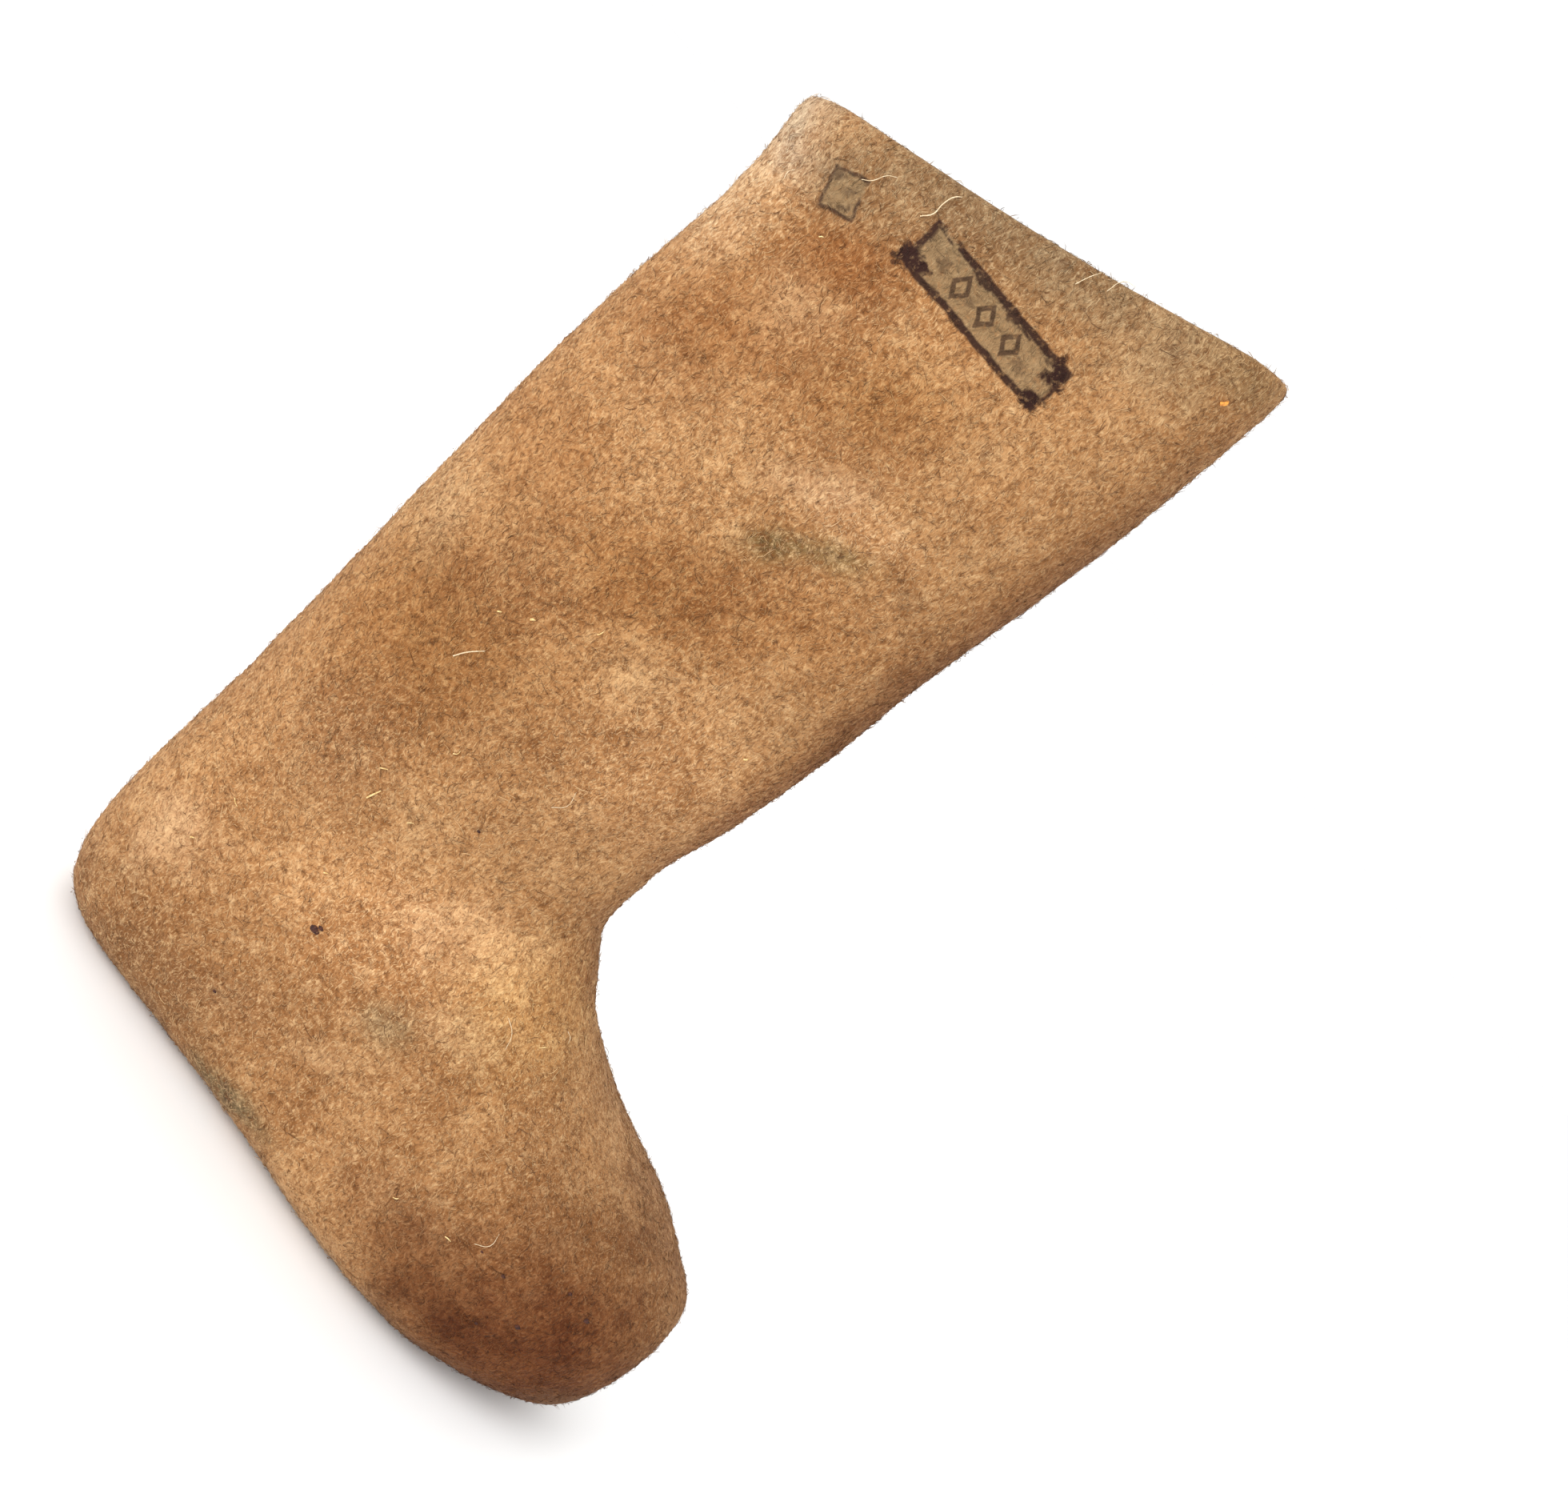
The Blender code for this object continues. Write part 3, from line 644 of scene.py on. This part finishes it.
def felt_material(name, tone_from_fibres, bump_depth):
    """Matt wool felt with a soft sheen. Its tone is even, or each fibre's own."""
    material = bpy.data.materials.new(name)
    material.use_nodes = True
    desk = NodeDesk(material.node_tree)
    shader = material.node_tree.nodes["Principled BSDF"]
    place = desk.add("ShaderNodeTexCoord").outputs["Object"]
    stain = desk.add("ShaderNodeAttribute", {"attribute_name": "stain"}).outputs
    tint = desk.add("ShaderNodeAttribute", {"attribute_name": "tint"}).outputs
    felt = desk.add(
        "ShaderNodeGroup", {"node_tree": colour_group}, Vector=place, Stain=stain["Color"],
        Stain_share=stain["Alpha"], Tint=tint["Color"],
    )
    if tone_from_fibres:
        tone = desk.add("ShaderNodeAttribute", {"attribute_name": "tone"}).outputs["Fac"]
        desk.tree.links.new(tone, felt.inputs["Tone"])
    else:
        bump = desk.add("ShaderNodeBump", Height=felt.outputs["Height"], Distance=bump_depth, Strength=0.8)
        desk.tree.links.new(bump.outputs["Normal"], shader.inputs["Normal"])
    desk.tree.links.new(felt.outputs["Color"], shader.inputs["Base Color"])
    shader.inputs["Roughness"].default_value = felt_roughness
    shader.inputs["Specular IOR Level"].default_value = 0.12
    shader.inputs["Sheen Weight"].default_value = 0.08
    shader.inputs["Sheen Roughness"].default_value = 0.45
    shader.inputs["Sheen Tint"].default_value = (1.0, 0.90, 0.72, 1.0)
    return material


lay_wear_and_painted_light(boot.data, points_of(boot.data))
boot.data.materials.append(felt_material("brown_wool_felt", False, 0.0007))
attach(boot, "root")
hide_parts("felt_boot")


# The nap
# Loose wool that stands and lies on the felt, inside and out. Each fibre is a thin closed spindle
# that lies bent on the felt, combed up and back on the foot and up the leg on the shaft.
nap_columns = ("name", "low", "high", "count", "stations", "longest", "seed")
nap_pieces = [dict(zip(nap_columns, row)) for row in (
    ("nap_foot", -0.01, 0.085, 25000, 3, 0.0050, 11),
    ("nap_ankle", 0.085, 0.200, 25000, 3, 0.0050, 12),
    ("nap_shaft", 0.200, 0.330, 25000, 3, 0.0050, 13),
    ("nap_collar", 0.330, 0.500, 25000, 3, 0.0050, 14),
    ("loose_wool", -0.01, 0.500, 7000, 5, 0.0085, 15),
)]
foot_lay, shaft_lay = math.radians(140.0), math.radians(62.0)  # the comb's angles, from level
lay_turns_at, lay_turns_over = 0.10, 0.14  # the height where one turns into the other, and over what
lay_sway = 0.5  # how far the lay strays from that, in waves
fibre_root = 0.00012  # how deep a fibre's ends lie in the felt, and the least height over the floor
standing_share, standing_curve, standing_rise = 0.15, 1.6, 2.2  # of the fibres that stand up
trodden_flat = 0.0012  # the felt below this height stands on the floor and has no nap
shaft_middle, inner_half_width = -0.06, 0.037
inside_shows_at, inside_share = 0.36, 0.03  # below this height the inside has this share of fibres


def surface_of(mesh):
    """The triangles of a mesh, as arrays: their corners, unit normals and areas."""
    mesh.calc_loop_triangles()
    corners = np.empty(len(mesh.loop_triangles) * 3, dtype=np.int32)
    mesh.loop_triangles.foreach_get("vertices", corners)
    triangles = points_of(mesh)[corners.reshape(-1, 3)]
    crossed = np.cross(triangles[:, 1] - triangles[:, 0], triangles[:, 2] - triangles[:, 0])
    doubled = np.linalg.norm(crossed, axis=1)
    return triangles, crossed / np.maximum(doubled, 1e-12)[:, None], doubled / 2


def unit(vectors):
    """The same directions, one unit long."""
    return vectors / np.maximum(np.linalg.norm(vectors, axis=-1, keepdims=True), 1e-12)


def lay_of(points):
    """The direction in which the wool is combed at each point, as unit vectors in the side view."""
    up = np.clip((points[:, 2] - lay_turns_at) / lay_turns_over, 0.0, 1.0)
    angles = foot_lay + (shaft_lay - foot_lay) * up * up * (3 - 2 * up)
    angles += lay_sway * np.sin(70 * points[:, 0] + 40 * points[:, 2])
    return np.stack((np.cos(angles), 0 * angles, np.sin(angles)), axis=1)


def fibre_mesh(name, stations, roots, normals, headings, lengths, radii, lifts, bends, tones, standing):
    """Closed three-sided spindles that lie curved on a surface, as one mesh."""
    side = unit(np.cross(normals, unit(np.cross(lay_of(roots), normals))))
    other = np.cross(normals, side)
    shares = np.linspace(0.0, 1.0, stations)
    steps = shares - 0.5
    angles = headings[:, None] + bends[:, None] * steps[None, :]
    along = np.cos(angles)[..., None] * side[:, None] + np.sin(angles)[..., None] * other[:, None]
    stride = lengths / (stations - 1)
    path = np.cumsum(along * stride[:, None, None], axis=1)
    path -= path.mean(axis=1, keepdims=True)
    rise = np.sin(np.pi * shares)[None, :] * lifts[:, None]
    rise[standing] = (shares**standing_curve)[None, :] * lifts[standing, None] * standing_rise
    path += roots[:, None] + normals[:, None] * (rise - fibre_root)[..., None]
    path[..., 2] = np.maximum(path[..., 2], fibre_root)
    across = unit(np.cross(along, normals[:, None]))
    upward = normals[:, None] + 0 * along
    rings = []
    for corner in range(3):
        turn = 2 * math.pi * corner / 3
        rim = math.cos(turn) * across + math.sin(turn) * upward
        rings.append(path[:, 1:-1] + rim[:, 1:-1] * radii[:, None, None])
    middle = np.stack(rings, axis=2).reshape(len(roots), -1, 3)
    points = np.concatenate((path[:, :1], middle, path[:, -1:]), axis=1)
    pattern = []
    last = 1 + 3 * (stations - 2)
    for corner in range(3):
        after = (corner + 1) % 3
        pattern.append((0, 1 + after, 1 + corner))
        for ring in range(stations - 3):
            low, high = 1 + 3 * ring, 4 + 3 * ring
            pattern.append((low + corner, low + after, high + corner))
            pattern.append((low + after, high + after, high + corner))
        pattern.append((last, last - 3 + corner, last - 3 + after))
    each = points.shape[1]
    faces = (np.arange(len(roots)) * each)[:, None, None] + np.array(pattern)[None]
    mesh = bpy.data.meshes.new(name)
    mesh.from_pydata(points.reshape(-1, 3), [], faces.reshape(-1, 3))
    mesh.attributes.new("tone", "FLOAT", "POINT").data.foreach_set("value", np.repeat(tones, each))
    mesh.shade_smooth()
    return mesh


nap_felt = felt_material("loose_wool_fibres", True, 0.0)
triangles, normals, areas = surface_of(boot.data)
middles = triangles.mean(axis=1)
heights = middles[:, 2]
# The inside is what faces the shaft's middle, near the middle plane. It shows only at the top, so
# the rest of it gets few fibres.
inside = (middles[:, 0] - shaft_middle) * normals[:, 0] + middles[:, 1] * normals[:, 1] < 0
inside &= np.abs(middles[:, 1]) < inner_half_width
fullness = np.where(inside & (heights < inside_shows_at), inside_share, 1.0)
for piece in nap_pieces:
    chance = np.random.default_rng(piece["seed"])
    here = (heights >= piece["low"]) & (heights < piece["high"]) & (heights > trodden_flat)
    wanted = areas * here * fullness
    count = piece["count"]
    picked = chance.choice(len(areas), size=count, p=wanted / wanted.sum())
    first, second = chance.random((2, count))
    folded = first + second > 1
    first[folded], second[folded] = 1 - first[folded], 1 - second[folded]
    corner = triangles[picked]
    roots = corner[:, 0] + first[:, None] * (corner[:, 1] - corner[:, 0])
    roots += second[:, None] * (corner[:, 2] - corner[:, 0])
    mesh = fibre_mesh(
        piece["name"], piece["stations"], roots, normals[picked],
        headings=chance.normal(0.0, 0.9, count),
        lengths=chance.uniform(0.4, 1.0, count) * piece["longest"],
        radii=chance.uniform(0.00007, 0.00013, count),
        lifts=chance.gamma(2.0, 0.00020, count),
        bends=chance.normal(0.0, 1.3, count),
        tones=chance.beta(1.1, 1.1, count),
        standing=chance.random(count) < standing_share,
    )
    lay_wear_and_painted_light(mesh, roots)
    nap = bpy.data.objects.new(piece["name"], mesh)
    scene.collection.objects.link(nap)
    nap.data.materials.append(nap_felt)
    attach(nap, "root")


# Loose hairs and straw
# Pale guard hairs that the felt hasn't taken in, and bits of straw caught in it. Each is one thin
# bent strand that lies on the felt, through a few points that were picked in the photo.
# A route point is x and z in metres, and its height over the felt in millimetres.
strand_columns = ("piece", "radius", "route")
strands = [dict(zip(strand_columns, row)) for row in (
    ("pale_hairs", 0.00020, ((-0.0966, 0.4078, 0.2), (-0.0941, 0.4115, 1.0), (-0.0943, 0.4155, 1.4),
                             (-0.0936, 0.4196, 0.6), (-0.0922, 0.4212, 0.3))),
    ("pale_hairs", 0.00012, ((-0.1181, 0.4010, 0.2), (-0.1150, 0.4034, 1.0), (-0.1128, 0.4079, 1.1),
                             (-0.1106, 0.4098, 0.3))),
    ("pale_hairs", 0.00022, ((-0.0913, 0.1950, 0.2), (-0.0887, 0.2004, 1.0), (-0.0852, 0.2054, 0.4))),
    ("pale_hairs", 0.00013, ((-0.0490, 0.4310, 0.2), (-0.0478, 0.4353, 1.2), (-0.0462, 0.4380, 2.0))),
    ("pale_hairs", 0.00012, ((-0.0410, 0.4370, 0.2), (-0.0396, 0.4415, 1.4), (-0.0360, 0.4432, 2.4))),
    ("pale_hairs", 0.00011, ((-0.1366, 0.3820, 0.1), (-0.1370, 0.3843, 0.6), (-0.1362, 0.3866, 0.1))),
    ("pale_hairs", 0.00012, ((0.0371, 0.1240, 0.2), (0.0392, 0.1226, 0.8), (0.0406, 0.1212, 0.2))),
    ("pale_hairs", 0.00012, ((0.0180, 0.1180, 0.2), (0.0230, 0.1150, 0.9), (0.0260, 0.1100, 0.3))),
    ("pale_hairs", 0.00011, ((-0.0300, 0.1850, 0.2), (-0.0270, 0.1900, 0.9), (-0.0285, 0.1960, 0.3))),
    ("pale_hairs", 0.00011, ((0.0720, 0.0600, 0.2), (0.0760, 0.0640, 0.9), (0.0750, 0.0690, 0.3))),
    ("straw_bits", 0.00034, ((-0.0745, 0.1362, 0.2), (-0.0738, 0.1392, 0.6), (-0.0729, 0.1424, 0.3))),
    ("straw_bits", 0.00026, ((-0.0792, 0.1478, 0.1), (-0.0780, 0.1490, 0.6), (-0.0768, 0.1498, 0.3))),
    ("straw_bits", 0.00034, ((-0.1064, 0.0700, 0.1), (-0.1056, 0.0710, 0.5), (-0.1051, 0.0712, 0.2))),
    ("straw_bits", 0.00018, ((-0.1060, 0.0944, 0.1), (-0.1046, 0.0936, 0.5), (-0.1030, 0.0929, 0.1))),
    ("straw_bits", 0.00018, ((-0.0662, 0.1718, 0.1), (-0.0650, 0.1732, 0.5), (-0.0652, 0.1744, 0.1))),
    ("straw_bits", 0.00018, ((-0.0586, 0.1410, 0.1), (-0.0580, 0.1422, 0.5), (-0.0568, 0.1430, 0.1))),
    ("straw_bits", 0.00030, ((-0.0648, 0.1026, 0.1), (-0.0640, 0.1034, 0.4), (-0.0634, 0.1036, 0.1))),
    ("straw_bits", 0.00022, ((0.0632, 0.0535, 0.1), (0.0646, 0.0540, 0.5), (0.0660, 0.0537, 0.1))),
    ("straw_bits", 0.00022, ((0.0404, 0.0476, 0.1), (0.0416, 0.0486, 0.5), (0.0420, 0.0494, 0.1))),
    ("straw_bits", 0.00020, ((-0.1138, 0.3794, 0.1), (-0.1130, 0.3802, 0.4), (-0.1126, 0.3804, 0.1))),
    ("straw_bits", 0.00020, ((0.0340, 0.1166, 0.1), (0.0352, 0.1176, 0.5), (0.0362, 0.1180, 0.1))),
    ("straw_bits", 0.00042, ((-0.0830, 0.2250, 0.1), (-0.0824, 0.2258, 0.6), (-0.0817, 0.2263, 0.1))),
    ("straw_bits", 0.00030, ((-0.0926, 0.2176, 0.1), (-0.0920, 0.2182, 0.5), (-0.0914, 0.2187, 0.1))),
    ("straw_bits", 0.00026, ((-0.0643, 0.2398, 0.1), (-0.0638, 0.2408, 0.5), (-0.0637, 0.2420, 0.1))),
    ("straw_bits", 0.00040, ((0.0001, 0.2464, 0.1), (0.0006, 0.2471, 0.6), (0.0009, 0.2478, 0.1))),
    ("orange_fleck", 0.00075, ((0.0094, 0.4426, 0.1), (0.0102, 0.4440, 0.7), (0.0106, 0.4450, 0.1))),
)]
strand_looks = {  # each piece's colour, its darker end's colour, and its roughness
    "pale_hairs": ((0.84, 0.70, 0.48), (0.62, 0.46, 0.27), 0.55),
    "straw_bits": ((0.86, 0.64, 0.30), (0.60, 0.38, 0.13), 0.50),
    "orange_fleck": ((0.80, 0.36, 0.06), (0.55, 0.20, 0.04), 0.80),
}
look_from = -0.3  # y of a place in front of the felt, from where its near side is found
edge_step = 0.001  # how far the look steps down at a time, where it passes over the collar's edge


def on_felt(x, z, height):
    """The point a height over the felt's near side, or over its collar edge, with the felt's normal."""
    past_edge = 0.0
    hit = False
    while not hit or place.y > 0:
        seen_from = Vector((x, look_from, z - past_edge))
        hit, place, normal = boot.ray_cast(seen_from, Vector((0.0, 1.0, 0.0)))[:3]
        past_edge += edge_step
    place.z += past_edge - edge_step
    return place + normal * height, normal


def felt_bits_material(name, colour, darker, roughness):
    """Dry stalks, hairs and dirt: two tones that change along each piece, with a little gloss."""
    material = bpy.data.materials.new(name)
    material.use_nodes = True
    desk = NodeDesk(material.node_tree)
    shader = material.node_tree.nodes["Principled BSDF"]
    place = desk.add("ShaderNodeTexCoord").outputs["Object"]
    streaks = desk.noise(place, 900.0, detail=2.0)
    tone = desk.mixed(desk.ramp(streaks, 0.35, 0.65), opaque(darker), opaque(colour))
    desk.tree.links.new(tone, shader.inputs["Base Color"])
    bump = desk.add("ShaderNodeBump", Height=streaks, Distance=0.0001, Strength=0.5)
    desk.tree.links.new(bump.outputs["Normal"], shader.inputs["Normal"])
    shader.inputs["Roughness"].default_value = roughness
    return material


for piece_name in strand_looks:
    curve = bpy.data.curves.new(piece_name, "CURVE")
    curve.dimensions = "3D"
    curve.bevel_depth = 1.0
    curve.bevel_resolution = 1
    curve.resolution_u = 4
    curve.use_fill_caps = True
    for strand in strands:
        if strand["piece"] != piece_name:
            continue
        spline = curve.splines.new("BEZIER")
        spline.bezier_points.add(len(strand["route"]) - 1)
        for point, (x, z, height) in zip(spline.bezier_points, strand["route"]):
            point.co = on_felt(x, z, height / 1000)[0]
            point.handle_left_type = point.handle_right_type = "AUTO"
            point.radius = strand["radius"]
        spline.bezier_points[-1].radius *= 0.5
    bpy.ops.object.select_all(action="DESELECT")
    bits = bpy.data.objects.new(piece_name, curve)
    scene.collection.objects.link(bits)
    bpy.context.view_layer.objects.active = bits
    bits.select_set(True)
    bpy.ops.object.convert(target="MESH")
    bits = bpy.context.object
    bits.data.materials.append(felt_bits_material(piece_name, *strand_looks[piece_name]))
    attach(bits, "root")


# Burrs
# Dark knots of matted wool and dirt that stand in the felt, most of them on the worn toe. Each is
# a small lumpy ball, pressed flat into the felt.
burrs = (  # x, z, width and how much it stands out
    (-0.0515, 0.0858, 0.0040, 0.0010),
    (-0.0503, 0.0880, 0.0022, 0.0008),
    (0.0879, 0.0594, 0.0018, 0.0007),
    (0.1069, 0.0476, 0.0024, 0.0009),
    (0.1228, 0.0648, 0.0026, 0.0009),
    (0.1102, 0.0692, 0.0018, 0.0007),
    (0.0960, 0.0374, 0.0014, 0.0006),
    (0.0760, 0.0600, 0.0012, 0.0005),
    (-0.0400, 0.1588, 0.0014, 0.0005),
    (-0.0583, 0.0383, 0.0015, 0.0005),
)
burr_narrowness = 0.7
burr_lumps = bpy.data.textures.new("burr_lumps", "CLOUDS")
burr_lumps.noise_scale = 0.35
burr_parts = []
for x, z, width, height in burrs:
    place, normal = on_felt(x, z, 0.0)
    bpy.ops.object.select_all(action="DESELECT")
    bpy.ops.mesh.primitive_ico_sphere_add(subdivisions=3, radius=0.5)
    burr = bpy.context.object
    bpy.ops.object.modifier_add(type="DISPLACE")
    burr.modifiers[-1].texture = burr_lumps
    burr.modifiers[-1].texture_coords = "LOCAL"
    burr.modifiers[-1].strength = 0.5
    bpy.ops.object.modifier_apply(modifier=burr.modifiers[-1].name)
    stretch = Matrix.Diagonal((width, width * burr_narrowness, height * 2, 1.0))
    upright = normal.to_track_quat("Z", "Y").to_matrix().to_4x4()
    burr.data.transform(Matrix.Translation(place) @ upright @ stretch)
    burr_parts.append(burr)
for burr in burr_parts:
    burr.select_set(True)
bpy.ops.object.join()
burr = bpy.context.object
burr.name = "dark_burrs"
bpy.ops.object.shade_smooth()
burr.data.materials.append(
    felt_bits_material("dark_burrs", (0.085, 0.026, 0.014), (0.030, 0.009, 0.006), 0.9)
)
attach(burr, "root")


# The insole
# A loose sole cut from thinner grey felt, which lies on the boot's inner floor and is seen only
# from above, down the shaft.
cut_edge_rounding = 0.0008
insole_grey, insole_pale = (0.130, 0.115, 0.100), (0.270, 0.245, 0.215)
insole_shadow, insole_hair = (0.050, 0.042, 0.036), (0.550, 0.500, 0.440)
insole = welded_copy("insole", "grey_insole")
bpy.ops.object.modifier_add(type="BEVEL")
insole.modifiers[-1].width = cut_edge_rounding
insole.modifiers[-1].segments = 2
insole.modifiers[-1].limit_method = "ANGLE"
bpy.ops.object.modifier_apply(modifier=insole.modifiers[-1].name)
bpy.ops.object.shade_smooth()

grey_felt = bpy.data.materials.new("grey_insole_felt")
grey_felt.use_nodes = True
desk = NodeDesk(grey_felt.node_tree)
shader = grey_felt.node_tree.nodes["Principled BSDF"]
place = desk.add("ShaderNodeTexCoord").outputs["Object"]
fibres = desk.add("ShaderNodeGroup", {"node_tree": fibres_group}, Vector=place, Fineness=0.8).outputs
clouds = desk.noise(place, 60.0, detail=4.0)
colour = desk.mixed(desk.ramp(clouds, 0.35, 0.65), opaque(insole_grey), opaque(insole_pale))
colour = desk.mixed(desk.maths("MULTIPLY", fibres["Dark"], 0.5), colour, opaque(insole_shadow))
colour = desk.mixed(desk.maths("MULTIPLY", fibres["Light"], 0.5), colour, opaque(insole_hair))
desk.tree.links.new(colour, shader.inputs["Base Color"])
bump = desk.add("ShaderNodeBump", Height=fibres["Height"], Distance=0.0006, Strength=0.8)
desk.tree.links.new(bump.outputs["Normal"], shader.inputs["Normal"])
shader.inputs["Roughness"].default_value = felt_roughness
shader.inputs["Specular IOR Level"].default_value = 0.15
shader.inputs["Sheen Weight"].default_value = 0.2
insole.data.materials.append(grey_felt)
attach(insole, "root")
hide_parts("insole")
